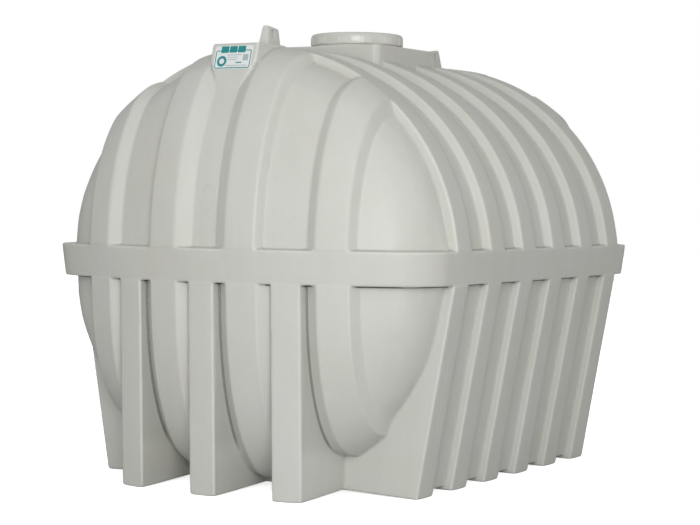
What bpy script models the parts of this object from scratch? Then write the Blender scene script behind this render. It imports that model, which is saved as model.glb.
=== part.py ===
"""Buried water tank: ribbed moulded hull on saddles, square turret, round screw lid.

Z is up, the ground is z = 0, the tank is centred on the Z axis, and its front end, the
one with the label pad, faces -Y. Every moulded piece is lofted between two levels of the
same hull: the floor of its grooves and the crown of its ribs.
"""
import math

import bmesh
import bpy

for old in list(bpy.data.objects):
    bpy.data.objects.remove(old, do_unlink=True)

# Driving dimensions in metres.
GAP = 0.0003
WALL = 0.012

# Plan: the belt's top edge, its corners and the tighter hull inside it.
HALF_WIDTH = 0.9455
END_REACH = 0.4255
END_BOW = 0.236
BELT_CORNER = 0.250
HULL_CORNER = 0.360
BELLY_CORNER = 0.280
BELT_HEIGHT = 0.136
BELT_TAPER = 0.015
BELT_DEPTH = 0.085

# Upper hull: elliptical barrel under six arches, and a quarter dome at each end.
ARCH_RISE = 0.890
ARCH_SPRING = 0.057
ARCH_PITCH = 0.2922
ARCH_WIDTH = 0.126
ARCH_DRAFT = 0.010
RIB_HEIGHT = 0.040

# Ribs of the ends stand midway between the legs; walls that face the middle are gentle.
END_PITCH = 0.378
INNER_RIB_WIDTH = 0.132
OUTER_RIB_WIDTH = 0.126
MIDDLE_RUN = 0.066
GENTLE_RUN = 0.050
STEEP_RUN = 0.016

# Lower hull: a belly of the same kind, fuller at its ends.
BELLY_DEPTH = 0.885
BELLY_SPRING = 0.044
BELLY_CLEARANCE = 0.015
BELLY_GROOVE = 0.045
BELLY_FULLNESS = 2.2
WINDOW_RUN = 0.020

# Supports: saddles across the belly, hollowed webs between them, plates under the ends.
SADDLE_LEAN = 0.1565
SADDLE_THICK_FOOT = 0.136
SADDLE_THICK_TOP = 0.124
FOOT_RISE = 0.014
FOOT_FLAT = 0.040
WEB_RECESS = 0.043
WEB_HOLLOW = 0.020
WEB_LIP = 0.003
WEB_CLEAR = 0.002
PAN_CLEARANCE = 0.018
LEG_WIDTH = 0.130
LEG_SLOT = 0.005
LEG_DRAFT = 0.025

# Top: turret, manhole, neck, lid, lugs and label pad, all placed from the arch crown.
BORE_RADIUS = 0.180
NECK_WALL = 0.014
NECK_HEIGHT = 0.046
NECK_FLANGE = 0.012
LID_WALL = 0.012
LID_HEIGHT = 0.056
LID_EDGE = 0.012
LID_DOME = 0.003
GRIP_PROUD = 0.003
TURRET_RISE = 0.038
TURRET_SHOULDER = 0.054
TURRET_CORNER = 0.045
LUG_LENGTH = 0.094
LUG_SETBACK = 0.016
LUG_LEAN = 0.014
LUG_FALL = 0.010
LUG_THICK = 0.050
LUG_TOP_THICK = 0.024
LUG_HEIGHT = 0.087
LUG_CREST = 0.008
EYE_WIDTH = 0.024
EYE_HEIGHT = 0.034
EYE_LIFT = 0.055
PAD_DROP = 0.002
PAD_SHOULDER = 0.076
PAD_HALF = 0.112
PAD_FOOT_HALF = 0.055
PAD_WALL = 0.6
PAD_CLEAR = 0.0030
PAD_TOP_REACH = 0.170
PAD_LEAN = 0.022
PAD_REACH = 0.222
EDGE_ROUND = 0.008
BELT_ROUND = 0.005

# Facets.
SIDE_ROWS = 8
BELLY_ROWS = 9
DOME_ROWS = 5
BELLY_END_ROWS = 8
WEB_ROWS = 4
BOW_COLUMNS = 6
TURN_STEPS = 36
GRIPS = 12

GREY = (0.55, 0.55, 0.52)

# Places that follow from the sizes above.
ARCH_END = 2.5 * ARCH_PITCH + ARCH_WIDTH / 2
HALF_LENGTH = ARCH_END + END_REACH
BOW = END_BOW / HALF_WIDTH ** 2
BELLY_CENTRE = BELLY_CLEARANCE + BELLY_DEPTH
BELT_BOTTOM = BELLY_CENTRE - BELLY_SPRING
BELT_TOP = BELT_BOTTOM + BELT_HEIGHT
ARCH_CENTRE = BELT_TOP - ARCH_SPRING
CROWN = ARCH_CENTRE + ARCH_RISE
TOP_START = BELT_TOP + GAP
LOW_START = BELT_BOTTOM - GAP
LOW_HALF = HALF_WIDTH - BELT_TAPER
FOOT_HALF = LOW_HALF - SADDLE_LEAN
LEG_HALF = LEG_WIDTH / 2
NECK_RADIUS = BORE_RADIUS + NECK_WALL
LID_RADIUS = NECK_RADIUS + LID_WALL
TURRET_HALF = LID_RADIUS + TURRET_SHOULDER
TURRET_TOP = CROWN + TURRET_RISE
LID_BOTTOM = TURRET_TOP + NECK_FLANGE
LID_TOP = LID_BOTTOM + LID_HEIGHT

INNER_RIB = (END_PITCH / 2 - INNER_RIB_WIDTH / 2, END_PITCH / 2 + INNER_RIB_WIDTH / 2)
OUTER_RIB = (1.5 * END_PITCH - OUTER_RIB_WIDTH / 2, 1.5 * END_PITCH + OUTER_RIB_WIDTH / 2)
INNER_FOOT = (INNER_RIB[0] - MIDDLE_RUN, INNER_RIB[1] + STEEP_RUN)
OUTER_FOOT = (OUTER_RIB[0] - GENTLE_RUN, OUTER_RIB[1] + STEEP_RUN)


def material(name, colour, rough):
    mat = bpy.data.materials.new(name)
    mat.use_nodes = True
    shader = mat.node_tree.nodes["Principled BSDF"]
    shader.inputs["Base Color"].default_value = (*colour, 1.0)
    shader.inputs["Roughness"].default_value = rough
    return mat


def finish(name, mesh, colour=GREY, rough=0.5):
    """Turn the faces out, shade the round stretches smooth and link the object."""
    bm = bmesh.new()
    bm.from_mesh(mesh)
    bmesh.ops.recalc_face_normals(bm, faces=bm.faces)
    bm.to_mesh(mesh)
    bm.free()
    mesh.shade_smooth()
    mesh.set_sharp_from_angle(angle=math.radians(35))
    obj = bpy.data.objects.new(name, mesh)
    bpy.context.scene.collection.objects.link(obj)
    mesh.materials.append(material(name, colour, rough))
    return obj


def round_edges(obj, width):
    mod = obj.modifiers.new("round edges", "BEVEL")
    mod.width = width
    mod.segments = 2
    mod.limit_method = "WEIGHT"
    mod.use_clamp_overlap = True


def loft(name, sections, ring=False, split=(), flip=(), rounded=(), width=EDGE_ROUND, **look):
    """Closed body through sections of equal point count.

    split and flip name the sides whose quads get one or the other diagonal, so that two
    touching pieces are faceted alike; rounded names the points whose long edges are round.
    """
    count = len(sections[0])
    total = len(sections)
    verts = [p for section in sections for p in section]
    faces = []
    for i in range(total if ring else total - 1):
        a = i * count
        b = ((i + 1) % total) * count
        for j in range(count):
            k = (j + 1) % count
            if j in split:
                faces.append((a + j, a + k, b + k))
                faces.append((a + j, b + k, b + j))
            elif j in flip:
                faces.append((a + j, a + k, b + j))
                faces.append((a + k, b + k, b + j))
            else:
                faces.append((a + j, a + k, b + k, b + j))
    if not ring:
        faces.append(tuple(reversed(range(count))))
        faces.append(tuple(range((total - 1) * count, total * count)))
    mesh = bpy.data.meshes.new(name)
    mesh.from_pydata(verts, [], faces)
    obj = finish(name, mesh, **look)
    if rounded:
        layer = mesh.attributes.new("bevel_weight_edge", "FLOAT", "EDGE")
        for edge in mesh.edges:
            p, q = edge.vertices
            if p % count == q % count and p % count in rounded:
                layer.data[edge.index].value = 1.0
        round_edges(obj, width)
    return obj


def shell(name, outer, inner):
    """Open shell between two grids of the same shape, closed along its rim."""
    rows = len(outer)
    cols = len(outer[0])
    verts = [p for row in outer for p in row] + [p for row in inner for p in row]
    base = rows * cols
    faces = []
    for i in range(rows - 1):
        for j in range(cols - 1):
            a = i * cols + j
            b = a + 1
            c = a + cols + 1
            d = a + cols
            if outer[i][j][0] + outer[i][j + 1][0] < 0:
                pair = ((a, b, c), (a, c, d))
            else:
                pair = ((a, b, d), (b, c, d))
            for face in pair:
                faces.append(face)
                faces.append(tuple(base + v for v in reversed(face)))
    rim = [j for j in range(cols)]
    rim += [i * cols + cols - 1 for i in range(1, rows)]
    rim += [(rows - 1) * cols + j for j in range(cols - 2, -1, -1)]
    rim += [i * cols for i in range(rows - 2, 0, -1)]
    for a, b in zip(rim, rim[1:] + rim[:1]):
        faces.append((a, b, base + b, base + a))
    mesh = bpy.data.meshes.new(name)
    mesh.from_pydata(verts, [], faces)
    return finish(name, mesh)


def turned(name, profile, closed=True, proud=None, **look):
    """Profile of (radius, height) points spun about the Z axis."""
    bm = bmesh.new()
    verts = [bm.verts.new((r, 0.0, z)) for r, z in profile]
    edges = [bm.edges.new(pair) for pair in zip(verts, verts[1:])]
    if closed:
        edges.append(bm.edges.new((verts[-1], verts[0])))
    bmesh.ops.spin(bm, geom=verts + edges, cent=(0, 0, 0), axis=(0, 0, 1),
                   angle=2 * math.pi, steps=TURN_STEPS, use_merge=True)
    bmesh.ops.remove_doubles(bm, verts=bm.verts, dist=1e-5)
    if proud:
        proud(bm)
    mesh = bpy.data.meshes.new(name)
    bm.to_mesh(mesh)
    bm.free()
    return finish(name, mesh, **look)


def cut_away(obj, cutter):
    cutter.hide_render = True
    cutter.display_type = "WIRE"
    mod = obj.modifiers.new("cut " + cutter.name, "BOOLEAN")
    mod.operation = "DIFFERENCE"
    mod.solver = "EXACT"
    mod.object = cutter


def spread(start, stop, parts):
    return [start + (stop - start) * i / parts for i in range(parts + 1)]


def mirrored(values):
    return [-v for v in reversed(values) if v > 0.0] + values


# Plan outline: a bowed end, an arc round the corner and a straight side.
def corner(half, front, radius):
    """Where the bowed end runs into the corner arc, and the centre of that arc."""
    low = 0.0
    high = half
    for _ in range(60):
        x = (low + high) / 2
        run = math.hypot(2 * BOW * x, 1.0)
        if x - radius * 2 * BOW * x / run < half - radius:
            low = x
        else:
            high = x
    run = math.hypot(2 * BOW * low, 1.0)
    return low, front - BOW * low * low - radius / run


def plan_y(x, half, front, radius):
    """Distance of the outline from the X axis, at x."""
    x = min(abs(x), half)
    meet, centre = corner(half, front, radius)
    if x <= meet:
        return front - BOW * x * x
    return centre + math.sqrt(max(0.0, radius ** 2 - (x - half + radius) ** 2))


def outline(half, front, radius):
    """Whole outline, with the same count of points for every size."""
    meet, centre = corner(half, front, radius)
    quarter = [(x, front - BOW * x * x) for x in spread(0.0, meet, BOW_COLUMNS)[:-1]]
    start = math.atan2(front - BOW * meet ** 2 - centre, meet - half + radius)
    for angle in spread(start, 0.0, 5):
        x = half - radius + radius * math.cos(angle)
        quarter.append((x, centre + radius * math.sin(angle)))
    right = quarter + [(x, -y) for x, y in reversed(quarter)]
    return right + [(-x, y) for x, y in reversed(right) if x > 0.0]


# The two levels of the hull, as ellipses across the tank; drop is the depth below a crown.
def upper_axes(drop):
    return HALF_WIDTH - drop, ARCH_RISE - drop


def upper_z(x, drop):
    a, b = upper_axes(drop)
    return ARCH_CENTRE + b * math.sqrt(max(0.0, 1 - (x / a) ** 2))


def upper_edge(drop):
    a, b = upper_axes(drop)
    return a * math.sqrt(1 - ((TOP_START - ARCH_CENTRE) / b) ** 2)


def lower_axes(drop):
    return LOW_HALF - drop, BELLY_DEPTH - drop / 2


def lower_z(x, drop):
    a, b = lower_axes(drop)
    return BELLY_CENTRE - b * math.sqrt(max(0.0, 1 - (x / a) ** 2))


def lower_x(z, drop):
    a, b = lower_axes(drop)
    return a * math.sqrt(max(0.0, 1 - ((BELLY_CENTRE - z) / b) ** 2))


def saddle_half_thick(z):
    share = z / BELT_BOTTOM
    return (SADDLE_THICK_FOOT + (SADDLE_THICK_TOP - SADDLE_THICK_FOOT) * share) / 2


def saddle_side(z):
    return FOOT_HALF + SADDLE_LEAN * z / BELT_BOTTOM


def upper_rows(drop):
    """Section of the barrel, with the same rows at every level."""
    a, b = upper_axes(drop)
    begin = math.asin(TURRET_HALF / a)
    end = math.asin(upper_edge(drop) / a)
    side = []
    for angle in spread(begin, end, SIDE_ROWS)[1:]:
        side.append((a * math.sin(angle), ARCH_CENTRE + b * math.cos(angle)))
    side[-1] = (side[-1][0], TOP_START)
    rows = [(-x, z) for x, z in reversed(side)]
    rows += [(x, upper_z(x, drop)) for x in spread(-TURRET_HALF, TURRET_HALF, 6)]
    return rows + side


def lower_rows(drop):
    """Section of the belly, with the same rows at every level."""
    a, b = lower_axes(drop)
    end = math.asin(lower_x(LOW_START, drop) / a)
    rows = []
    for angle in spread(-end, end, 2 * BELLY_ROWS):
        rows.append((a * math.sin(angle), BELLY_CENTRE - b * math.cos(angle)))
    rows[0] = (rows[0][0], LOW_START)
    rows[-1] = (rows[-1][0], LOW_START)
    return rows


def dome_point(x, t, drop, side):
    """Upper end: a quarter ellipse from the last arch down to the belt."""
    start = ARCH_END + GAP
    reach = plan_y(x, HALF_WIDTH - drop, HALF_LENGTH - drop, HULL_CORNER - drop)
    y = start + max(WALL, reach - start) * math.sin(t)
    z = TOP_START + max(0.0, upper_z(x, drop) - TOP_START) * math.cos(t)
    return (x, side * y, z)


def belly_point(x, t, drop, side):
    """Lower end, from the first saddle out and up to the belt."""
    bottom = min(lower_z(x, drop), LOW_START)
    start = 2.5 * ARCH_PITCH + saddle_half_thick(bottom) + GAP
    reach = plan_y(x, LOW_HALF - drop, HALF_LENGTH - BELT_TAPER - drop, BELLY_CORNER - drop)
    power = 2 / BELLY_FULLNESS
    y = start + max(WALL, reach - start) * math.sin(t) ** power
    z = LOW_START - (LOW_START - bottom) * max(0.0, math.cos(t)) ** power
    return (x, side * y, z)


def dome_angle(reach):
    """Angle at which the groove floor in the middle stands this far before the last arch."""
    return math.asin((reach - GAP) / (END_REACH - RIB_HEIGHT - GAP))


FOOT_T = dome_angle(PAD_REACH)
DOME_T = [0.0, dome_angle(PAD_TOP_REACH) / 2, dome_angle(PAD_TOP_REACH)]
DOME_T += [dome_angle(PAD_TOP_REACH + PAD_LEAN)]
DOME_T += spread(FOOT_T, math.pi / 2, DOME_ROWS)
BELLY_T = spread(0.0, math.pi / 2, BELLY_END_ROWS)


def grid(point, columns, angles, side, inset):
    """Grid of a level; inset squeezes the columns so that the inner edge meets the belt."""
    return [[point(x * inset, t, drop, side) for x, drop in columns] for t in angles]


def dome(name, side):
    edge = upper_edge(RIB_HEIGHT)
    cols = [0.0] + spread(*INNER_FOOT, 3) + [(INNER_FOOT[1] + OUTER_FOOT[0]) / 2]
    cols += spread(*OUTER_FOOT, 3)
    cols += [OUTER_FOOT[1] + (edge - OUTER_FOOT[1]) * f for f in (0.30, 0.58, 0.80, 1.0)]
    cols = mirrored(cols)
    outer = grid(dome_point, [(x, RIB_HEIGHT) for x in cols], DOME_T, side, 1.0)
    deep = RIB_HEIGHT + WALL
    inner = grid(dome_point, [(x, deep) for x in cols], DOME_T, side, upper_edge(deep) / edge)
    return shell(name, outer, inner)


def end_rib(name, side, hand, top, foot):
    """One rib of the upper end, lofted row by row from the last arch to the belt."""
    sections = []
    for t in DOME_T:
        crown = [dome_point(hand * x, t, 0.0, side) for x in spread(*top, 2)]
        base = [dome_point(hand * x, t, RIB_HEIGHT - GAP, side) for x in spread(*foot, 3)]
        sections.append(crown + base[::-1])
    return loft(name, sections, split=(3, 4, 5), rounded=(0, 2))


def arch(name, number, half=0):
    """Full arch, or the half on one side of the turret for the two middle ones."""
    centre = (number - 3.5) * ARCH_PITCH
    crown = upper_rows(0.0)
    base = upper_rows(RIB_HEIGHT - GAP)
    if half > 0:
        crown = crown[-SIDE_ROWS - 1:]
        base = base[-SIDE_ROWS - 1:]
    elif half < 0:
        crown = crown[:SIDE_ROWS + 1]
        base = base[:SIDE_ROWS + 1]
    near = centre - ARCH_WIDTH / 2
    far = centre + ARCH_WIDTH / 2
    near_foot = near - (0.0 if number == 1 else ARCH_DRAFT)
    far_foot = far + (0.0 if number == 6 else ARCH_DRAFT)
    sections = []
    for (x, z), (u, w) in zip(crown, base):
        sections.append([(x, near, z), (x, far, z), (u, far_foot, w), (u, near_foot, w)])
    return loft(name, sections, rounded=(0, 1))


def belly_end(name, side):
    """Lower end of the hull, with its four raised bands moulded on."""
    deep = BELLY_GROOVE
    floor = LEG_HALF + LEG_SLOT
    window = OUTER_RIB[1] + WINDOW_RUN
    edge = lower_x(LOW_START, deep)
    cols = [(0.0, deep), (LEG_HALF, deep), (floor, deep)]
    cols += [(x, 0.0) for x in spread(*INNER_RIB, 2)]
    cols += [(END_PITCH + x, deep) for x in (-floor, -LEG_HALF, 0.0, LEG_HALF, floor)]
    cols += [(x, 0.0) for x in spread(*OUTER_RIB, 2)]
    cols += [(window + (edge - window) * f, deep) for f in (0.0, 0.30, 0.58, 0.80, 1.0)]
    cols = [(-x, drop) for x, drop in reversed(cols) if x > 0.0] + cols
    inset = lower_x(LOW_START, deep + WALL) / edge
    outer = grid(belly_point, cols, BELLY_T, side, 1.0)
    inner = grid(belly_point, [(x, drop + WALL) for x, drop in cols], BELLY_T, side, inset)
    return shell(name, outer, inner)


def belt(name):
    top = outline(HALF_WIDTH, HALF_LENGTH, BELT_CORNER)
    low = outline(LOW_HALF, HALF_LENGTH - BELT_TAPER, BELT_CORNER)
    bore = outline(LOW_HALF - BELT_DEPTH, HALF_LENGTH - BELT_TAPER - BELT_DEPTH,
                   BELT_CORNER - BELT_DEPTH)
    sections = []
    for a, b, c in zip(low, top, bore):
        sections.append([(*a, BELT_BOTTOM), (*b, BELT_TOP), (*c, BELT_TOP), (*c, BELT_BOTTOM)])
    return loft(name, sections, ring=True, rounded=(0, 1), width=BELT_ROUND)


def saddle(name, number):
    """Plate across the belly with the belly cut out of it; its edges are the side legs."""
    centre = (number - 3.5) * ARCH_PITCH
    turn = BELLY_ROWS // 2
    outer = []
    for i in range(BELLY_ROWS + 1):
        if i > turn:
            z = LOW_START * (i - turn) / (BELLY_ROWS - turn)
            outer.append((saddle_side(z), z))
        else:
            x = FOOT_HALF * i / turn
            if i == turn - 1:
                x = FOOT_HALF - FOOT_FLAT
            outer.append((x, FOOT_RISE if i < turn - 1 else 0.0))
    outer = [(-x, z) for x, z in reversed(outer) if x > 0.0] + outer
    sections = []
    for (x, z), (u, w) in zip(lower_rows(BELLY_GROOVE - 2 * GAP), outer):
        thick = saddle_half_thick(z)
        foot = saddle_half_thick(w)
        sections.append([
            (u, centre - foot, w), (u, centre + foot, w),
            (x, centre + thick, z), (x, centre - thick, z),
        ])
    return loft(name, sections, rounded=(0, 1))


def web_depth(z, recess):
    """Room between the outside of a web and the belly behind it."""
    return saddle_side(z) - recess - lower_x(z, BELLY_GROOVE - WEB_CLEAR)


def web_top(recess):
    """Height at which a web this far behind the saddles' sides dies into the belly."""
    step = BELT_BOTTOM / 200
    z = BELT_BOTTOM / 3
    while z + step < LOW_START and web_depth(z + step, recess) > WEB_LIP:
        z += step
    return z


def bay_pan(name, number):
    """Webs on both sides of a bay, hollowed towards its middle and joined under the belly."""
    centre = (number - 3) * ARCH_PITCH
    steps = (-1.0, -0.5, 0.0, 0.5, 1.0)
    right = []
    for f in spread(0.0, 1.0, WEB_ROWS):
        outer = []
        inner = []
        for k in steps:
            recess = WEB_RECESS + WEB_HOLLOW * (1 - k * k)
            top = web_top(recess)
            z = top + (PAN_CLEARANCE - top) * f
            half = ARCH_PITCH / 2 - saddle_half_thick(z) - GAP
            outer.append((saddle_side(z) - recess, centre + half * k, z))
            z = top + (PAN_CLEARANCE + WALL - top) * f
            half = ARCH_PITCH / 2 - saddle_half_thick(z) - GAP
            x = saddle_side(z) - recess - min(WALL, web_depth(z, recess))
            inner.append((x, centre + half * k, z))
        right.append(outer + inner[::-1])
    middle = [(0.0, y, z) for x, y, z in right[-1]]
    left = [[(-x, y, z) for x, y, z in section] for section in reversed(right)]
    return loft(name, right + [middle] + left)


def end_leg(name, side, centre):
    """Upright plate under a groove of an end, running back to the first saddle."""
    toe = len(BELLY_T) // 2
    sections = []
    for i, t in enumerate(reversed(BELLY_T)):
        seat = []
        foot = []
        for x in (centre - LEG_HALF, centre, centre + LEG_HALF):
            seat.append(belly_point(x, t, BELLY_GROOVE - 2 * GAP, side))
            front = plan_y(x, LOW_HALF, HALF_LENGTH - BELT_TAPER, BELT_CORNER)
            back = 2.5 * ARCH_PITCH + saddle_half_thick(FOOT_RISE) + GAP
            if i <= toe:
                z = LOW_START * (1 - i / toe)
                y = front - LEG_DRAFT * i / toe
            elif i == toe + 1:
                z = 0.0
                y = front - LEG_DRAFT - FOOT_FLAT
            else:
                f = (i - toe - 1) / (len(BELLY_T) - toe - 2)
                heel = front - LEG_DRAFT - FOOT_FLAT
                z = FOOT_RISE * f
                y = heel + (back - heel) * f
            foot.append((x, side * y, z))
        sections.append(seat + foot[::-1])
    flip = [j for j, x in enumerate((centre - LEG_HALF / 2, centre + LEG_HALF / 2)) if x < 0]
    split = [j for j in (0, 1) if j not in flip]
    return loft(name, sections, split=split, flip=flip, rounded=(3, 5))


def turret(name, bore):
    """Square block with rounded corners, its underside fitted to the barrel."""
    rows = upper_rows(RIB_HEIGHT - GAP)
    edge = TURRET_HALF - GAP
    stations = []
    for angle in spread(0.0, math.pi / 2, 3):
        x = edge - TURRET_CORNER * (1 - math.cos(angle))
        stations.append((x, edge - TURRET_CORNER * (1 - math.sin(angle))))
    stations += [(x, edge) for x in spread(0.0, TURRET_HALF, 3)[2:0:-1]]
    stations = [(-x, y) for x, y in stations] + [(0.0, edge)] + stations[::-1]
    sections = []
    for x, y in stations:
        z = seat_z(x, rows)
        sections.append([(x, -y, z), (x, y, z), (x, y, TURRET_TOP), (x, -y, TURRET_TOP)])
    block = loft(name, sections)
    cut_away(block, bore)
    return block


def seat_z(x, rows):
    """Height of a faceted section at x, so that a piece sits on its facets."""
    for (x0, z0), (x1, z1) in zip(rows, rows[1:]):
        if x0 <= x <= x1:
            return z0 + (z1 - z0) * (x - x0) / (x1 - x0)
    return rows[0][1]


def raise_grips(bm):
    """Push the lid's ring out in short blocks that a hand or a bar can turn."""
    period = 2 * math.pi / GRIPS
    for vert in bm.verts:
        radius = math.hypot(vert.co.x, vert.co.y)
        turn = math.atan2(vert.co.y, vert.co.x) % period
        if radius > LID_RADIUS - LID_EDGE / 2 and turn < period * 0.55:
            scale = (radius + GRIP_PROUD) / radius
            vert.co.x *= scale
            vert.co.y *= scale


def label_pad(name):
    """Wedge that fills the top of the front middle groove, with a leaning front face."""
    top = CROWN - PAD_DROP
    fronts = [(PAD_HALF, top, PAD_WALL)] * 3
    fronts += [(PAD_HALF, top - PAD_SHOULDER, PAD_WALL), (PAD_FOOT_HALF, None, GAP / PAD_HALF)]
    sections = []
    for t, (wide, height, climb) in zip(DOME_T, fronts):
        middle = dome_point(0.0, t, RIB_HEIGHT - GAP, -1)
        foot = dome_point(INNER_FOOT[0] - PAD_CLEAR, t, RIB_HEIGHT - GAP, -1)
        crest = dome_point(INNER_RIB[0] - PAD_CLEAR, t, 0.0, -1)
        wall = [a + (b - a) * climb for a, b in zip(foot, crest)]
        if height is None:
            height = wall[2] + WEB_LIP
        sections.append([
            (-foot[0], foot[1], foot[2]), middle, foot, tuple(wall), (wide, middle[1], height),
            (-wide, middle[1], height), (-wall[0], wall[1], wall[2]),
        ])
    return loft(name, sections, split=(0,), flip=(1,), rounded=(4, 5), width=BELT_ROUND)


def lug(name, number):
    """Tapered fin on an end arch, its top falling towards the turret, with a shackle eye."""
    side = -1 if number < 3.5 else 1
    centre = (number - 3.5) * ARCH_PITCH - side * LUG_SETBACK
    base = CROWN + GAP
    sections = []
    for rise, trim in ((0.0, 0.0), (LUG_HEIGHT - LUG_CREST, 0.0), (LUG_HEIGHT, LUG_CREST / 2)):
        out = centre + side * (LUG_LENGTH / 2 - LUG_LEAN * rise / LUG_HEIGHT - trim)
        back = centre - side * (LUG_LENGTH / 2 - trim)
        section = []
        for y, climb in ((out, rise), (back, rise - LUG_FALL * (rise > 0))):
            taper = (LUG_TOP_THICK - LUG_THICK) * climb / LUG_HEIGHT
            half = (LUG_THICK + taper - trim) / 2
            section += [(-half, y, base + climb), (half, y, base + climb)]
        sections.append([section[0], section[1], section[3], section[2]])
    body = loft(name, sections)
    eye = centre - side * LUG_LEAN / 4
    straight = (EYE_HEIGHT - EYE_WIDTH) / 2
    ends = []
    for x in (-LUG_THICK, LUG_THICK):
        ring = []
        for angle in spread(0.0, 2 * math.pi, 16)[:-1]:
            y = eye + EYE_WIDTH / 2 * math.cos(angle)
            z = base + EYE_LIFT + EYE_WIDTH / 2 * math.sin(angle)
            z += straight if math.sin(angle) >= 0 else -straight
            ring.append((x, y, z))
        ends.append(ring)
    cut_away(body, loft(name + "_eye_cutter", ends))
    return body


# Hull: half shells of three pieces each, and the belt between them.
manhole = turned("manhole_cutter", [
    (0.0, CROWN - 2 * TURRET_HALF), (BORE_RADIUS, CROWN - 2 * TURRET_HALF),
    (BORE_RADIUS, LID_TOP), (0.0, LID_TOP),
], closed=False)
levels = [upper_rows(RIB_HEIGHT), upper_rows(RIB_HEIGHT + WALL)]
barrel_end = ARCH_END - GAP
barrel = shell("barrel_upper", *[
    [[(x, end, z) for x, z in rows] for end in (-barrel_end, barrel_end)] for rows in levels
])
cut_away(barrel, manhole)
dome("dome_front", -1)
dome("dome_rear", 1)
levels = [lower_rows(BELLY_GROOVE), lower_rows(BELLY_GROOVE + WALL)]
belly_half = 2.5 * ARCH_PITCH - GAP
shell("belly_middle", *[
    [[(x, s * (belly_half + saddle_half_thick(z)), z) for x, z in rows] for s in (-1, 1)]
    for rows in levels
])
belly_end("belly_front", -1)
belly_end("belly_rear", 1)
belt("belt")

# Ribs: arches over the barrel and four down each end.
arch("arch_1", 1)
arch("arch_2", 2)
arch("arch_3_left", 3, -1)
arch("arch_3_right", 3, 1)
arch("arch_4_left", 4, -1)
arch("arch_4_right", 4, 1)
arch("arch_5", 5)
arch("arch_6", 6)
for end, side in (("front", -1), ("rear", 1)):
    end_rib("rib_" + end + "_outer_left", side, -1, OUTER_RIB, OUTER_FOOT)
    end_rib("rib_" + end + "_inner_left", side, -1, INNER_RIB, INNER_FOOT)
    end_rib("rib_" + end + "_inner_right", side, 1, INNER_RIB, INNER_FOOT)
    end_rib("rib_" + end + "_outer_right", side, 1, OUTER_RIB, OUTER_FOOT)

# Supports.
for number in range(1, 7):
    saddle("saddle_" + str(number), number)
for number in range(1, 6):
    bay_pan("bay_pan_" + str(number), number)
for end, side in (("front", -1), ("rear", 1)):
    end_leg("leg_" + end + "_left", side, -END_PITCH)
    end_leg("leg_" + end + "_middle", side, 0.0)
    end_leg("leg_" + end + "_right", side, END_PITCH)

# Turret, neck and lid.
turret("turret", manhole)
NECK_BASE = TURRET_TOP + GAP
turned("neck", [
    (BORE_RADIUS, NECK_BASE),
    (LID_RADIUS - LID_WALL / 4, NECK_BASE),
    (LID_RADIUS - LID_WALL / 4, LID_BOTTOM - GAP),
    (NECK_RADIUS, LID_BOTTOM - GAP),
    (NECK_RADIUS, NECK_BASE + NECK_HEIGHT),
    (BORE_RADIUS, NECK_BASE + NECK_HEIGHT),
])
turned("lid", [
    (0.0, LID_TOP),
    (LID_RADIUS - 2 * LID_EDGE, LID_TOP - LID_DOME),
    (LID_RADIUS - LID_EDGE / 3, LID_TOP - LID_DOME - LID_EDGE / 3),
    (LID_RADIUS, LID_TOP - LID_DOME - LID_EDGE),
    (LID_RADIUS, LID_BOTTOM),
    (NECK_RADIUS + GAP, LID_BOTTOM),
    (NECK_RADIUS + GAP, LID_TOP - LID_WALL),
    (0.0, LID_TOP - LID_WALL),
], closed=False, proud=raise_grips, rough=0.35)

# Label pad and lifting lugs.
label_pad("label_pad")
lug("lifting_lug_front", 1)
lug("lifting_lug_rear", 6)
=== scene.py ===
import math

import bmesh
import bpy
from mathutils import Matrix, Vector


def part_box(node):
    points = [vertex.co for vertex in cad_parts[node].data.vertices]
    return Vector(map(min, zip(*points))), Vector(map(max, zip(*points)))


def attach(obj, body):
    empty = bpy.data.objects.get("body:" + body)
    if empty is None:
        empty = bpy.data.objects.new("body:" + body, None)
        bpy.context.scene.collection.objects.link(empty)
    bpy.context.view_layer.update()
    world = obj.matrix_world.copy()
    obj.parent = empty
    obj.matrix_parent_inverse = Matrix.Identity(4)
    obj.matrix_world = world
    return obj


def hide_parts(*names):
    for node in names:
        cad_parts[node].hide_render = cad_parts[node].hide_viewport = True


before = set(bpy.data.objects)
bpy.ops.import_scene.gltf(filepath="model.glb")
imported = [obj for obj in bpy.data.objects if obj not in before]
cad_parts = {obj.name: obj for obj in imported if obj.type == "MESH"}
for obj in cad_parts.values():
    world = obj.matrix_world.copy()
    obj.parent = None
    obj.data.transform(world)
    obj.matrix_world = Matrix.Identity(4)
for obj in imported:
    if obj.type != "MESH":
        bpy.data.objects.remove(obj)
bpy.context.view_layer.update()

# The view: a long lens, turned 31 degrees from the tank's front end and held a little
# above the belt, so that the end and one long side show.
CAMERA_PLACE = (4.43559, -7.43298, 1.20022)
CAMERA_TURN = [math.radians(angle) for angle in (88.0517, -0.5797, 30.9897)]
CAMERA_LENS = 98.602
bpy.ops.object.select_all(action="DESELECT")
bpy.ops.object.camera_add(location=CAMERA_PLACE, rotation=CAMERA_TURN)
camera = bpy.context.object
camera.name = "photo_camera"
camera.data.sensor_width = 36.0
camera.data.lens = CAMERA_LENS
camera.data.clip_end = 100.0
bpy.context.scene.camera = camera

# The label pad: a wedge at the top of the front middle groove, part of the same moulding,
# with a flat front face that leans back to carry the label. Sawn from a block and rounded.
PAD_HALF = 0.112
PAD_FOOT_HALF = 0.055
PAD_TOP = 1.8230
PAD_SHOULDER = 1.7470
PAD_FOOT = 1.6430
PAD_FACE_TOP = -0.9630
PAD_FACE_FOOT = -1.0150
PAD_BACK = -0.7600
PAD_UNDER = 1.6000
PAD_BLOCK_FRONT = -1.1000
PAD_ROUND = 0.005


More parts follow.
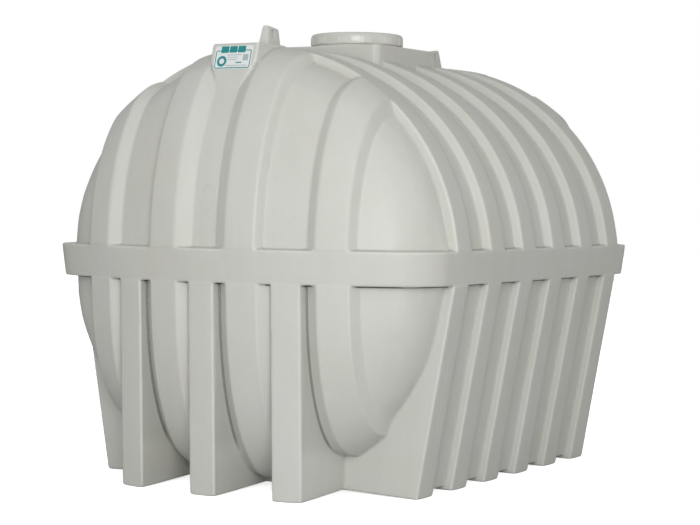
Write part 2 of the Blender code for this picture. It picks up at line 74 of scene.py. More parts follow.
def only(*pieces):
    """Select these pieces and nothing else."""
    bpy.ops.object.select_all(action="DESELECT")
    for piece in pieces:
        piece.select_set(True)
    bpy.context.view_layer.objects.active = pieces[0]


def work(piece, kind, **settings):
    """Put a modifier on a piece, set it and apply it."""
    only(piece)
    modifier = piece.modifiers.new(kind.lower(), kind)
    for name, value in settings.items():
        setattr(modifier, name, value)
    bpy.ops.object.modifier_apply(modifier=modifier.name)


def settle(piece):
    """Bring a piece's place, turn and size into its mesh."""
    only(piece)
    bpy.ops.object.transform_apply(location=True, rotation=True, scale=True)


pad_slope = Vector((0, PAD_FACE_TOP - PAD_FACE_FOOT, PAD_TOP - PAD_FOOT)).normalized()
pad_face = Vector((0, -pad_slope.z, pad_slope.y))
bpy.ops.object.select_all(action="DESELECT")
bpy.ops.mesh.primitive_cube_add(
    size=1.0, location=(0, (PAD_BACK + PAD_BLOCK_FRONT) / 2, (PAD_TOP + PAD_UNDER) / 2)
)
pad = bpy.context.object
pad.name = "pad_block"
pad.scale = (2 * PAD_HALF, PAD_BACK - PAD_BLOCK_FRONT, PAD_TOP - PAD_UNDER)
settle(pad)
bpy.ops.object.mode_set(mode="EDIT")
bpy.ops.mesh.select_all(action="SELECT")
bpy.ops.mesh.bisect(
    plane_co=(0, PAD_FACE_TOP, PAD_TOP), plane_no=pad_face, use_fill=True, clear_outer=True
)
for side in (-1, 1):
    bpy.ops.mesh.select_all(action="SELECT")
    bpy.ops.mesh.bisect(
        plane_co=(side * PAD_HALF, 0, PAD_SHOULDER),
        plane_no=(side * (PAD_SHOULDER - PAD_FOOT), 0, PAD_FOOT_HALF - PAD_HALF),
        use_fill=True, clear_outer=True,
    )
bpy.ops.object.mode_set(mode="OBJECT")
work(pad, "BEVEL", width=PAD_ROUND, segments=3)

# The moulded hull: one hollow skin of light grey polyethylene, turned in a heated mould,
# so ribs, belt, legs, turret and label pad flow into each other with soft fillets. It is
# made by softening each CAD piece, fusing them all and laying the skin back on them.
SKIN_GRAIN = 0.0064
SKIN_OVERLAP = 0.0003
WELD = 0.00002
REAL_EDGE = math.radians(28.5)
FLAT_PAIR = math.radians(24)
QUAD_SKEW = math.radians(60)
CUT_EDGE = math.radians(70)
PLUG_RADIUS = 0.186
PLUG_DEPTH = 0.5
LEG_SLIM = 0.938
WEB_FOOT = 0.7372
WEB_LEAN = 0.1828
WEB_TOP = 0.870
WEB_LAP = 0.004
WEB_THIN = 0.012
WEB_THICK = 0.060
BAY_COUNT = 5
SEPARATE = ("lid", "neck", "lifting_lug_front", "lifting_lug_rear")
FUSED = [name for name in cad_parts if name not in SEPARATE]


def softened(node):
    """Copy of a CAD piece with its facets rounded out and its real edges kept."""
    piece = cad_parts[node].copy()
    piece.data = piece.data.copy()
    piece.parent = None
    piece.name = "soft_" + node
    bpy.context.scene.collection.objects.link(piece)
    only(piece)
    bpy.ops.object.mode_set(mode="EDIT")
    bpy.ops.mesh.select_all(action="SELECT")
    bpy.ops.mesh.remove_doubles(threshold=WELD)
    if node.startswith("leg_"):
        low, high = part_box(node)
        bpy.ops.transform.resize(
            value=(LEG_SLIM, 1.0, 1.0), center_override=((low.x + high.x) / 2, 0, 0)
        )
    bpy.ops.mesh.tris_convert_to_quads(face_threshold=FLAT_PAIR, shape_threshold=QUAD_SKEW)
    shape = bmesh.from_edit_mesh(piece.data)
    crease = shape.edges.layers.float.new("crease_edge")
    for edge in shape.edges:
        if edge.calc_face_angle(0.0) > REAL_EDGE:
            edge[crease] = 1.0
    bmesh.update_edit_mesh(piece.data)
    bpy.ops.object.mode_set(mode="OBJECT")
    work(piece, "SUBSURF", levels=2, render_levels=2)
    work(piece, "DISPLACE", strength=SKIN_OVERLAP, mid_level=0.0)
    return piece


def sawn(piece, name, *cuts):
    """Part of the skin on the near side of each cut: a point and the direction away."""
    part = piece.copy()
    part.data = piece.data.copy()
    part.name = name
    bpy.context.scene.collection.objects.link(part)
    only(part)
    bpy.ops.object.mode_set(mode="EDIT")
    for place, away in cuts:
        bpy.ops.mesh.select_all(action="SELECT")
        bpy.ops.mesh.bisect(plane_co=place, plane_no=away, use_fill=True, clear_outer=True)
    bpy.ops.object.mode_set(mode="OBJECT")
    bpy.ops.object.shade_smooth_by_angle(angle=CUT_EDGE)
    return part


def flat_web(number, side):
    """Flat leaning face of one bay between two saddles, thin at the foot and thick in the belt."""
    low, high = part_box("bay_pan_" + str(number))
    bpy.ops.object.select_all(action="DESELECT")
    bpy.ops.mesh.primitive_cube_add(
        size=1.0, location=(side * WEB_FOOT, (low.y + high.y) / 2, (low.z + WEB_TOP) / 2)
    )
    web = bpy.context.object
    web.scale = (WEB_THICK, high.y - low.y + WEB_LAP, WEB_TOP - low.z)
    settle(web)
    for corner in web.data.vertices:
        outer = WEB_FOOT + WEB_LEAN * corner.co.z
        thick = WEB_THIN if corner.co.z < WEB_TOP / 2 else WEB_THICK
        is_outer = abs(corner.co.x) > WEB_FOOT
        corner.co.x = side * (outer if is_outer else outer - thick)
    return web


soft_pieces = [softened(node) for node in FUSED if node != "label_pad"]
for number in range(1, BAY_COUNT + 1):
    soft_pieces += [flat_web(number, side) for side in (-1, 1)]
turret_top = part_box("turret")[1].z
bpy.ops.object.select_all(action="DESELECT")
bpy.ops.mesh.primitive_cylinder_add(
    vertices=64, radius=PLUG_RADIUS, depth=PLUG_DEPTH,
    location=(0, 0, turret_top - PLUG_DEPTH / 2),
)
manhole_plug = bpy.context.object
only(*soft_pieces, pad, manhole_plug)
bpy.ops.object.join()
guide = bpy.context.object
guide.name = "guide"
skin = guide.copy()
skin.data = guide.data.copy()
skin.name = "skin"
bpy.context.scene.collection.objects.link(skin)
work(skin, "REMESH", mode="VOXEL", voxel_size=SKIN_GRAIN)
work(skin, "SMOOTH", iterations=2, factor=0.5)
work(skin, "SHRINKWRAP", wrap_method="NEAREST_SURFACEPOINT", target=guide)
work(skin, "SMOOTH", iterations=1, factor=0.3)
bpy.data.objects.remove(guide)

# Painted shade where no light gets in: the gaps along both edges of the belt, in front of faces
# that are sunk behind the belt's plan, and the slots beside the end legs.
BELT_HALF = 0.9305
BELT_REACH = 1.2040
BELT_BEND = 0.2500
BELT_BOW = 0.264
SUNK_FROM = 0.020
SUNK_FULL = 0.026
GAP_UNDER_DARK = 0.85
GAP_OVER_DARK = 0.42
SLOT_WIDTH = 0.0090
SLOT_SOFT = 0.0015
SLOT_END = 0.160
SLOT_FULL = 0.220
SLOT_DARK = 0.55
SEAM_HALF = 0.012
belt_low, belt_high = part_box("belt")
mid_belt = (belt_low.z + belt_high.z) / 2
leg_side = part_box("leg_front_middle")[1].x * LEG_SLIM
outer_leg_low, outer_leg_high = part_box("leg_front_right")
leg_pitch = (outer_leg_low.x + outer_leg_high.x) / 2
last_slot = leg_pitch + 0.085


def moulded_plastic(name, shade, gloss, grain):
    """Polyethylene from the mould: satin, faintly mottled and streaked, with a fine grain.

    Convex edges carry a painted highlight, a little paler than the flats; inner corners, the gaps
    along the belt and the slots beside the end legs carry painted shade.
    """
    material = bpy.data.materials.new(name)
    material.use_nodes = True
    nodes = material.node_tree.nodes
    link = material.node_tree.links.new
    shader = nodes["Principled BSDF"]
    place = nodes.new("ShaderNodeTexCoord").outputs["Object"]

    def cloud(scale, detail, rough=0.5, stretch=None):
        noise = nodes.new("ShaderNodeTexNoise")
        noise.inputs["Scale"].default_value = scale
        noise.inputs["Detail"].default_value = detail
        noise.inputs["Roughness"].default_value = rough
        if stretch:
            drawn = nodes.new("ShaderNodeMapping")
            drawn.inputs["Scale"].default_value = stretch
            link(place, drawn.inputs["Vector"])
            link(drawn.outputs["Vector"], noise.inputs["Vector"])
        else:
            link(place, noise.inputs["Vector"])
        return noise.outputs["Fac"]

    def ranged(value, low, high, out_low, out_high):
        spread = nodes.new("ShaderNodeMapRange")
        spread.inputs["From Min"].default_value = low
        spread.inputs["From Max"].default_value = high
        spread.inputs["To Min"].default_value = out_low
        spread.inputs["To Max"].default_value = out_high
        link(value, spread.inputs["Value"])
        return spread.outputs["Result"]

    def times(first, second):
        product = nodes.new("ShaderNodeMath")
        product.operation = "MULTIPLY"
        link(first, product.inputs[0])
        link(second, product.inputs[1])
        return product.outputs["Value"]

    def moved(kind, vector, amount=None):
        step = nodes.new("ShaderNodeVectorMath")
        step.operation = kind
        link(vector, step.inputs[0])
        if amount is not None:
            step.inputs[1].default_value = amount
        return step.outputs["Value" if kind == "LENGTH" else "Vector"]

    # The colour: mottled, flecked and streaked down the walls.
    red, green, blue = shade
    tone = nodes.new("ShaderNodeMix")
    tone.data_type = "RGBA"
    tone.inputs["A"].default_value = (red * 0.98, green * 0.975, blue * 0.95, 1.0)
    tone.inputs["B"].default_value = (red * 1.01, green * 1.015, blue * 1.025, 1.0)
    link(ranged(cloud(2.3, 4.0, 0.6), 0.34, 0.66, 0.0, 1.0), tone.inputs["Factor"])
    flecks = ranged(cloud(60.0, 4.0, 0.7), 0.35, 0.65, 0.985, 1.0)
    streaks = ranged(cloud(5.0, 4.0, 0.6, (4.0, 4.0, 0.35)), 0.35, 0.65, 0.985, 1.005)

    # Painted shade in the inner corners, and a painted highlight on the convex edges save where the
    # skin is sawn through the belt.
    edge = nodes.new("ShaderNodeNewGeometry").outputs["Pointiness"]
    corners = ranged(edge, 0.41, 0.48, 0.62, 1.0)
    parts = nodes.new("ShaderNodeSeparateXYZ")
    link(place, parts.inputs["Vector"])
    height = parts.outputs["Z"]
    seam = nodes.new("ShaderNodeMath")
    seam.operation = "COMPARE"
    seam.inputs[1].default_value = mid_belt
    seam.inputs[2].default_value = SEAM_HALF
    link(height, seam.inputs[0])
    off_seam = ranged(seam.outputs["Value"], 0.0, 1.0, 1.0, 0.0)
    painted_edge_highlight = times(ranged(edge, 0.525, 0.585, 0.0, 1.0), off_seam)
    painted_edge_highlight = ranged(painted_edge_highlight, 0.0, 1.0, 1.0, 1.16)
    flecks_and_painted_light = times(times(flecks, streaks), times(corners, painted_edge_highlight))

    # How far a point is inside the belt's plan, a rectangle with round corners and bowed ends.
    square = times(parts.outputs["X"], parts.outputs["X"])
    bow = nodes.new("ShaderNodeCombineXYZ")
    link(ranged(square, 0.0, 1.0, 0.0, BELT_BOW), bow.inputs["Y"])
    plan = moved("ABSOLUTE", place)
    plan = moved("MULTIPLY", plan, (1.0, 1.0, 0.0))
    bowed = nodes.new("ShaderNodeVectorMath")
    bowed.operation = "ADD"
    link(plan, bowed.inputs[0])
    link(bow.outputs["Vector"], bowed.inputs[1])
    plan = moved(
        "SUBTRACT", bowed.outputs["Vector"], (BELT_HALF - BELT_BEND, BELT_REACH - BELT_BEND, 0.0)
    )
    plan = moved("MAXIMUM", plan, (0.0, 0.0, 0.0))
    reach = moved("LENGTH", plan)
    sunk = ranged(reach, BELT_BEND - SUNK_FULL, BELT_BEND - SUNK_FROM, 1.0, 0.0)
    # Painted shade in the gaps under and over the belt, on sunk faces only.
    under = times(
        ranged(height, belt_low.z - 0.0070, belt_low.z - 0.0050, 0.0, GAP_UNDER_DARK),
        ranged(height, belt_low.z, belt_low.z + 0.0020, 1.0, 0.0),
    )
    over = times(
        ranged(height, belt_high.z - 0.0010, belt_high.z, 0.0, GAP_OVER_DARK),
        ranged(height, belt_high.z + 0.0030, belt_high.z + 0.0050, 1.0, 0.0),
    )

    # Painted shade in the slots on both sides of each end leg, counted from the nearest leg's
    # middle.
    nearest = nodes.new("ShaderNodeMath")
    nearest.operation = "PINGPONG"
    nearest.inputs[1].default_value = leg_pitch / 2
    link(parts.outputs["X"], nearest.inputs[0])
    from_leg = nearest.outputs["Value"]
    slot_side = leg_side + SLOT_WIDTH
    beside = times(
        ranged(from_leg, leg_side, leg_side + SLOT_SOFT, 0.0, 1.0),
        ranged(from_leg, slot_side, slot_side + SLOT_SOFT, 1.0, 0.0),
    )
    at_legs = ranged(square, last_slot ** 2, (last_slot + 0.005) ** 2, 1.0, 0.0)
    slots = times(
        ranged(height, SLOT_END, SLOT_FULL, 0.0, SLOT_DARK),
        ranged(height, belt_low.z - 0.0040, belt_low.z - 0.0020, 1.0, 0.0),
    )
    slots = times(times(slots, at_legs), beside)
    # Each gap's painted shade darkens the colour.
    for gap in (times(sunk, under), times(sunk, over), slots):
        flecks_and_painted_light = times(flecks_and_painted_light, ranged(gap, 0.0, 1.0, 1.0, 0.0))
    # The colour times the flecks and streaks, the painted highlight and the painted shade.
    tone_with_painted_light = nodes.new("ShaderNodeMix")
    tone_with_painted_light.data_type = "RGBA"
    tone_with_painted_light.blend_type = "MULTIPLY"
    tone_with_painted_light.inputs["Factor"].default_value = 1.0
    link(tone.outputs["Result"], tone_with_painted_light.inputs["A"])
    link(flecks_and_painted_light, tone_with_painted_light.inputs["B"])
    link(tone_with_painted_light.outputs["Result"], shader.inputs["Base Color"])

    # The surface: patches of more and less gloss, slow waves and a fine grain from the mould.
    rough = ranged(cloud(7.0, 4.0, 0.65), 0.3, 0.7, gloss - 0.05, gloss + 0.06)
    link(rough, shader.inputs["Roughness"])
    wave = nodes.new("ShaderNodeBump")
    wave.inputs["Strength"].default_value = 0.30
    wave.inputs["Distance"].default_value = 0.010
    link(cloud(3.2, 1.0), wave.inputs["Height"])
    peel = nodes.new("ShaderNodeBump")
    peel.inputs["Strength"].default_value = grain
    peel.inputs["Distance"].default_value = 0.0010
    link(cloud(190.0, 3.0, 0.6), peel.inputs["Height"])
    link(wave.outputs["Normal"], peel.inputs["Normal"])
    link(peel.outputs["Normal"], shader.inputs["Normal"])
    shader.inputs["IOR"].default_value = 1.5
    return material


TANK_GREY = (0.610, 0.615, 0.572)
tank_plastic = moulded_plastic("light_grey_polyethylene", TANK_GREY, gloss=0.50, grain=0.20)
groove = (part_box("arch_1")[1].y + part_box("arch_2")[0].y) / 2
end_saddle = (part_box("saddle_1")[0].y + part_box("saddle_1")[1].y) / 2
front = (0, -1, 0)
rear = (0, 1, 0)
above = ((0, 0, mid_belt), (0, 0, -1))
below = ((0, 0, mid_belt), (0, 0, 1))
sections = {
    "hull_top_front": (above, ((0, groove, 0), rear)),
    "hull_top_middle_front": (above, ((0, groove, 0), front), ((0, 0, 0), rear)),
    "hull_top_middle_rear": (above, ((0, 0, 0), front), ((0, -groove, 0), rear)),
    "hull_top_rear": (above, ((0, -groove, 0), front)),
    "hull_base_front": (below, ((0, end_saddle, 0), rear)),
    "hull_base_middle_front": (below, ((0, end_saddle, 0), front), ((0, 0, 0), rear)),
    "hull_base_middle_rear": (below, ((0, 0, 0), front), ((0, -end_saddle, 0), rear)),
    "hull_base_rear": (below, ((0, -end_saddle, 0), front)),
}


def starting(*starts):
    """The fused CAD pieces whose names start with one of these words."""
    return [name for name in FUSED if name.startswith(starts)]


stands_for = {
    "hull_top_front": starting("dome_front", "arch_1", "label_pad", "belt", "rib_front"),
    "hull_top_middle_front": starting("barrel_upper", "arch_2", "arch_3", "turret"),
    "hull_top_middle_rear": starting("arch_4", "arch_5"),
    "hull_top_rear": starting("dome_rear", "arch_6", "rib_rear"),
    "hull_base_front": starting("belly_front", "saddle_1", "leg_front"),
    "hull_base_middle_front": starting(
        "belly_middle", "saddle_2", "saddle_3", "bay_pan_1", "bay_pan_2", "bay_pan_3"
    ),
    "hull_base_middle_rear": starting("saddle_4", "saddle_5", "bay_pan_4", "bay_pan_5"),
    "hull_base_rear": starting("belly_rear", "saddle_6", "leg_rear"),
}
for name, cuts in sections.items():
    part = sawn(skin, name, *cuts)
    part.data.materials.clear()
    part.data.materials.append(tank_plastic)
    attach(part, "root")
    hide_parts(*stands_for[name])

# The embossed ring: a plain raised oval line on the floor of the front middle groove, cut
# into the mould and so of the same skin. A flat band is thrown onto the skin, then thickened.
RING_PLACE = (0.013, -1.6, 1.195)
RING_SIZE = (0.074, 0.096)
RING_STEP = (0.972, 0.979)
RING_RISE = 0.0050
bpy.ops.object.select_all(action="DESELECT")
bpy.ops.mesh.primitive_circle_add(
    vertices=64, radius=0.5, location=RING_PLACE, rotation=(math.radians(90), 0, 0)
)
ring = bpy.context.object
ring.name = "embossed_ring"
ring.scale = (*RING_SIZE, 1.0)
settle(ring)
bpy.ops.object.mode_set(mode="EDIT")
bpy.ops.mesh.select_all(action="SELECT")
for step in range(2):
    bpy.ops.mesh.extrude_edges_move(TRANSFORM_OT_translate={"value": (0, 0, 0)})
    bpy.ops.transform.resize(value=(RING_STEP[0], 1.0, RING_STEP[1]))
bpy.ops.object.mode_set(mode="OBJECT")
work(
    ring, "SHRINKWRAP", wrap_method="PROJECT", target=skin, use_project_y=True,
    use_positive_direction=True, use_negative_direction=False,
)
work(ring, "SOLIDIFY", thickness=RING_RISE, offset=0.0)
work(ring, "BEVEL", width=0.0008, segments=2)
only(ring)
bpy.ops.object.mode_set(mode="EDIT")
bpy.ops.mesh.select_all(action="SELECT")
bpy.ops.mesh.normals_make_consistent(inside=False)
bpy.ops.object.mode_set(mode="OBJECT")
bpy.ops.object.shade_smooth_by_angle(angle=math.radians(40))
ring.data.materials.clear()
ring.data.materials.append(tank_plastic)
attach(ring, "root")
bpy.data.objects.remove(skin)

# The neck: a short threaded pipe of the same plastic that stands on the turret and ends
# in a flange, of which only the rim shows under the lid. Turned ring by ring.
TURN_SIDES = 144
NECK_BORE = 0.180
NECK_PIPE = 0.194
NECK_RIM = 0.0015
THREAD_DEPTH = 0.0030
THREAD_FEET = (0.006, 0.019)


def turned(name, outline, capped):
    """Draw a circle out along an outline of (radius, height), closed on itself or capped."""
    radius, height = outline[0]
    bpy.ops.object.select_all(action="DESELECT")
    bpy.ops.mesh.primitive_circle_add(
        vertices=TURN_SIDES, radius=radius, location=(0, 0, height),
        fill_type="TRIFAN" if capped else "NOTHING",
    )
    piece = bpy.context.object
    piece.name = name
    settle(piece)
    bpy.ops.object.mode_set(mode="EDIT")
    bpy.ops.mesh.select_mode(type="EDGE")
    shape = bmesh.from_edit_mesh(piece.data)
    for edge in shape.edges:
        edge.select_set(len(edge.link_faces) < 2)
    bmesh.update_edit_mesh(piece.data)
    for next_radius, next_height in outline[1:]:
        bpy.ops.mesh.extrude_edges_move(
            TRANSFORM_OT_translate={"value": (0, 0, next_height - height)}
        )
        bpy.ops.transform.resize(value=(next_radius / radius, next_radius / radius, 1.0))
        radius, height = next_radius, next_height
    if capped:
        bpy.ops.mesh.edge_face_add()
        bpy.ops.mesh.poke()
    bpy.ops.mesh.select_all(action="SELECT")
    bpy.ops.mesh.remove_doubles(threshold=0.00001)
    bpy.ops.mesh.normals_make_consistent(inside=False)
    bpy.ops.object.mode_set(mode="OBJECT")
    return piece


neck_low, neck_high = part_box("neck")
lid_low, lid_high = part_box("lid")
flange = neck_high.x
thread = []
for foot in THREAD_FEET:
    thread += [
        (NECK_PIPE, lid_low.z + foot), (NECK_PIPE - THREAD_DEPTH, lid_low.z + foot + 0.002),
        (NECK_PIPE - THREAD_DEPTH, lid_low.z + foot + 0.007), (NECK_PIPE, lid_low.z + foot + 0.009),
    ]
neck = turned("screw_neck", [
    (NECK_BORE, neck_low.z), (flange - 0.001, neck_low.z), (flange, neck_low.z + 0.001),
    (flange, lid_low.z - 0.0022), (flange - 0.001, lid_low.z - 0.0010),
    (NECK_PIPE, lid_low.z - 0.0010), *thread, (NECK_PIPE, neck_high.z - NECK_RIM),
    (NECK_PIPE - NECK_RIM, neck_high.z), (NECK_BORE + NECK_RIM, neck_high.z),
    (NECK_BORE, neck_high.z - NECK_RIM), (NECK_BORE, neck_low.z),
], capped=False)
only(neck)
bpy.ops.object.shade_smooth_by_angle(angle=math.radians(35))
neck.data.materials.append(tank_plastic)
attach(neck, "root")
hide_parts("neck")

# The lid: a shallow screw cap of the same grey in a smoother, harder plastic, with a round
# shoulder, broad grip pads round its ring and a sunk line on its slightly domed top.
GRIP_COUNT = 12
GRIP_TURN = math.radians(-25.0)
GRIP_RISE = 0.0022
LID_GREY = (0.640, 0.642, 0.600)
LID_BORE = 0.1945
lid_plastic = moulded_plastic("lid_polyethylene", LID_GREY, gloss=0.24, grain=0.10)
lid_radius = lid_high.x - 0.003
lid = turned("screw_lid", [
    (LID_BORE, lid_high.z - 0.012), (LID_BORE, lid_low.z + 0.0010), (LID_BORE + 0.001, lid_low.z),
    (lid_radius - 0.0030, lid_low.z), (lid_radius - 0.0010, lid_low.z + 0.0008),
    (lid_radius, lid_low.z + 0.0030), (lid_radius, lid_high.z - 0.0180),
    (lid_radius - 0.0012, lid_high.z - 0.0125), (lid_radius - 0.0040, lid_high.z - 0.0080),
    (lid_radius - 0.0085, lid_high.z - 0.0048), (lid_radius - 0.0150, lid_high.z - 0.0032),
    (0.1820, lid_high.z - 0.0028), (0.1800, lid_high.z - 0.0045), (0.1740, lid_high.z - 0.0045),
    (0.1720, lid_high.z - 0.0026), (0.1300, lid_high.z - 0.0016), (0.0800, lid_high.z - 0.0006),
    (0.0300, lid_high.z - 0.0001),
], capped=True)
bpy.ops.object.mode_set(mode="EDIT")
bpy.ops.mesh.select_mode(type="FACE")
bpy.ops.mesh.select_all(action="DESELECT")
shape = bmesh.from_edit_mesh(lid.data)
for face in shape.faces:
    middle = face.calc_center_median()
    turn = math.atan2(middle.x, -middle.y) - GRIP_TURN
    on_side = abs(face.normal.z) < 0.02 and middle.xy.length > lid_radius - 0.001
    face.select_set(on_side and (turn * GRIP_COUNT / (2 * math.pi)) % 1.0 < 0.5)
bmesh.update_edit_mesh(lid.data)
bpy.ops.mesh.inset(thickness=0.0016, depth=0.0)
bpy.ops.mesh.inset(thickness=0.0014, depth=GRIP_RISE)
bpy.ops.object.mode_set(mode="OBJECT")
only(lid)
bpy.ops.object.shade_smooth_by_angle(angle=math.radians(55))
lid.data.materials.append(lid_plastic)
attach(lid, "root")
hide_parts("lid")

# The lifting lugs: solid fins of the moulding on the crown of the end arches, each with an
# eye for a shackle. Their CAD forms are merged and their edges rounded.
LUG_ROUND = 0.0030
for end in ("front", "rear"):
    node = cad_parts["lifting_lug_" + end]
    lug = node.copy()
    lug.data = node.data.copy()
    lug.parent = None
    lug.name = "lug_" + end
    bpy.context.scene.collection.objects.link(lug)
    only(lug)
    bpy.ops.object.mode_set(mode="EDIT")
    bpy.ops.mesh.select_all(action="SELECT")
    bpy.ops.mesh.remove_doubles(threshold=WELD)
    bpy.ops.mesh.dissolve_limited(angle_limit=math.radians(4))
    bpy.ops.object.mode_set(mode="OBJECT")
    work(lug, "BEVEL", width=LUG_ROUND, segments=3, angle_limit=math.radians(28))
    only(lug)
    bpy.ops.object.shade_smooth_by_angle(angle=math.radians(40))
    lug.data.materials.clear()
    lug.data.materials.append(tank_plastic)
    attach(lug, "root")
    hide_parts("lifting_lug_" + end)

# The label: a white plastic sheet glued on the pad, printed with a plain teal border, three
# blocks, a ring, a bar and grey lines. The prints are thin films that lie on the sheet.
GLUE = 0.0006
SHEET = 0.0010
FILM = 0.00025
PAPER = (0.80, 0.83, 0.83)
TEAL = (0.015, 0.270, 0.275)
PALE_GREY = (0.42, 0.50, 0.50)
lean = math.asin(pad_face.z)


def label_stock(name, shade):
    """Printed plastic sheet: even colour with a trace of weathering and a slight wave."""
    material = bpy.data.materials.new(name)
    material.use_nodes = True
    nodes = material.node_tree.nodes
    link = material.node_tree.links.new
    shader = nodes["Principled BSDF"]
    place = nodes.new("ShaderNodeTexCoord").outputs["Object"]
    noise = nodes.new("ShaderNodeTexNoise")
    noise.inputs["Scale"].default_value = 55.0
    noise.inputs["Detail"].default_value = 4.0
    link(place, noise.inputs["Vector"])
    tint = nodes.new("ShaderNodeMix")
    tint.data_type = "RGBA"
    tint.inputs["A"].default_value = (*[c * 0.93 for c in shade], 1.0)
    tint.inputs["B"].default_value = (*shade, 1.0)
    link(noise.outputs["Fac"], tint.inputs["Factor"])
    link(tint.outputs["Result"], shader.inputs["Base Color"])
    wave = nodes.new("ShaderNodeBump")
    wave.inputs["Strength"].default_value = 0.15
    wave.inputs["Distance"].default_value = 0.001
    link(noise.outputs["Fac"], wave.inputs["Height"])
    link(wave.outputs["Normal"], shader.inputs["Normal"])
    shader.inputs["Roughness"].default_value = 0.38
    return material


def film(across, down, width, height, corner, level, thick):
    """Flat piece with round corners on the pad's slope, at a level above its face."""
    place = Vector((across, PAD_FACE_TOP, PAD_TOP)) - pad_slope * down + pad_face * level
    bpy.ops.object.select_all(action="DESELECT")
    bpy.ops.mesh.primitive_plane_add(
        size=1.0, location=place, rotation=(math.radians(90) - lean, 0, 0)
    )
    piece = bpy.context.object
    piece.scale = (width, height, 1.0)
    settle(piece)
    bpy.ops.object.mode_set(mode="EDIT")
    bpy.ops.mesh.select_all(action="SELECT")
    bpy.ops.mesh.bevel(offset=corner, segments=8, affect="VERTICES")
    bpy.ops.mesh.select_all(action="SELECT")
    bpy.ops.mesh.extrude_region_move(TRANSFORM_OT_translate={"value": pad_face * thick})
    bpy.ops.mesh.select_all(action="SELECT")
    bpy.ops.mesh.normals_make_consistent(inside=False)
    bpy.ops.object.mode_set(mode="OBJECT")
    return piece


def printed(name, films, shade):
    """Join films of one colour into one piece of the label."""
    only(*films)
    if len(films) > 1:
        bpy.ops.object.join()
    piece = bpy.context.object
    piece.name = name
    only(piece)
    bpy.ops.object.shade_smooth_by_angle(angle=math.radians(35))
    piece.data.materials.append(label_stock(name, shade))
    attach(piece, "root")


printed("label_sheet", [film(0.0, 0.0625, 0.184, 0.100, 0.008, GLUE, SHEET)], PAPER)
top = GLUE + SHEET
printed("label_border", [film(0.0, 0.0700, 0.174, 0.078, 0.009, top, FILM)], TEAL)
printed("label_ground", [film(0.0, 0.0700, 0.166, 0.070, 0.006, top + FILM, FILM)], PAPER)
top += 2 * FILM
blocks = [
    film(across, 0.0280, 0.037, 0.0280, 0.003, top - FILM, 2 * FILM)
    for across in (-0.044, -0.003, 0.038)
]
printed("label_print_teal", [
    *blocks,
    film(-0.0525, 0.0780, 0.046, 0.046, 0.0229, top, FILM),
    film(0.032, 0.0850, 0.028, 0.0050, 0.001, top, FILM),
], TEAL)
printed("label_print_white", [
    film(-0.0525, 0.0780, 0.024, 0.024, 0.0119, top + FILM, FILM),
], PAPER)
lines = [
    film(across, down, width, 0.0030, 0.001, top, FILM)
    for across, down, width in (
        (0.006, 0.0520, 0.070), (-0.002, 0.0620, 0.052), (-0.004, 0.0720, 0.048),
        (0.020, 0.0970, 0.100),
    )
]
small_square = film(0.062, 0.0640, 0.026, 0.026, 0.003, top, FILM)
printed("label_print_grey", [*lines, small_square], PALE_GREY)

# The floor and the light: a white studio. One large soft lamp stands behind the camera, weak
# ones shine from above the front, from the right and on the far side, and an even light comes
# from all round. The floor shows white to the camera but keeps the tank's shadow.
FLOOR_GLOW = 0.80
STUDIO_LIGHT = 0.44
LAMP_AIM = Vector((0, 0, 0.95))
LAMP_REACH = 8.0
LAMP_SIZE = 3.5
WHITE = (1.0, 1.0, 1.0, 1.0)
bpy.ops.object.select_all(action="DESELECT")
bpy.ops.mesh.primitive_plane_add(size=60.0, location=(0, 0, 0))
floor = bpy.context.object
floor.name = "studio_floor"
floor_paint = bpy.data.materials.new("studio_floor")
floor_paint.use_nodes = True
floor_nodes = floor_paint.node_tree.nodes
floor_link = floor_paint.node_tree.links.new
matt = floor_nodes["Principled BSDF"]
matt.inputs["Base Color"].default_value = (0.5, 0.5, 0.5, 1.0)
matt.inputs["Roughness"].default_value = 1.0
glow = floor_nodes.new("ShaderNodeEmission")
glow.inputs["Color"].default_value = WHITE
glow.inputs["Strength"].default_value = FLOOR_GLOW
pale = floor_nodes.new("ShaderNodeBsdfDiffuse")
pale.inputs["Color"].default_value = (0.9, 0.9, 0.9, 1.0)
seen = floor_nodes.new("ShaderNodeAddShader")
floor_link(glow.outputs["Emission"], seen.inputs[0])
floor_link(pale.outputs["BSDF"], seen.inputs[1])
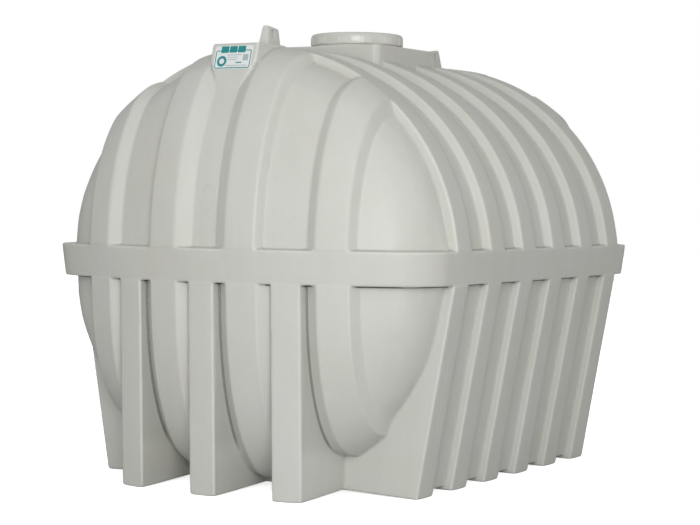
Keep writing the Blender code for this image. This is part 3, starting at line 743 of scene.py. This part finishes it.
floor_rays = floor_nodes.new("ShaderNodeLightPath")
floor_choice = floor_nodes.new("ShaderNodeMixShader")
floor_link(floor_rays.outputs["Is Camera Ray"], floor_choice.inputs["Fac"])
floor_link(matt.outputs["BSDF"], floor_choice.inputs[1])
floor_link(seen.outputs["Shader"], floor_choice.inputs[2])
floor_link(floor_choice.outputs["Shader"], floor_nodes["Material Output"].inputs["Surface"])
floor.data.materials.append(floor_paint)

world = bpy.data.worlds.new("studio")
bpy.context.scene.world = world
world.use_nodes = True
world_nodes = world.node_tree.nodes
world_link = world.node_tree.links.new
world_nodes["Background"].inputs["Color"].default_value = WHITE
world_nodes["Background"].inputs["Strength"].default_value = STUDIO_LIGHT
backdrop = world_nodes.new("ShaderNodeBackground")
backdrop.inputs["Color"].default_value = WHITE
backdrop.inputs["Strength"].default_value = 1.0
rays = world_nodes.new("ShaderNodeLightPath")
choice = world_nodes.new("ShaderNodeMixShader")
world_link(rays.outputs["Is Camera Ray"], choice.inputs["Fac"])
world_link(world_nodes["Background"].outputs["Background"], choice.inputs[1])
world_link(backdrop.outputs["Background"], choice.inputs[2])
world_link(choice.outputs["Shader"], world_nodes["World Output"].inputs["Surface"])

for name, azimuth, elevation, watts, shines_back in (
    ("lamp_main", 31, 8, 280.0, True),
    ("lamp_high", 0, 50, 45.0, False),
    ("lamp_right", 95, 3, 30.0, True),
    ("lamp_rear_fill", 215, 20, 250.0, False),
):
    turn = math.radians(azimuth)
    rise = math.radians(elevation)
    level = math.cos(rise)
    way = Vector((math.sin(turn) * level, -math.cos(turn) * level, math.sin(rise)))
    bpy.ops.object.select_all(action="DESELECT")
    bpy.ops.object.light_add(
        type="AREA", location=LAMP_AIM + way * LAMP_REACH,
        rotation=(-way).to_track_quat("-Z", "Y").to_euler(),
    )
    lamp = bpy.context.object
    lamp.name = name
    lamp.visible_camera = False
    lamp.visible_glossy = shines_back
    lamp.data.size = LAMP_SIZE
    lamp.data.energy = watts
bpy.context.scene.view_settings.view_transform = "Standard"
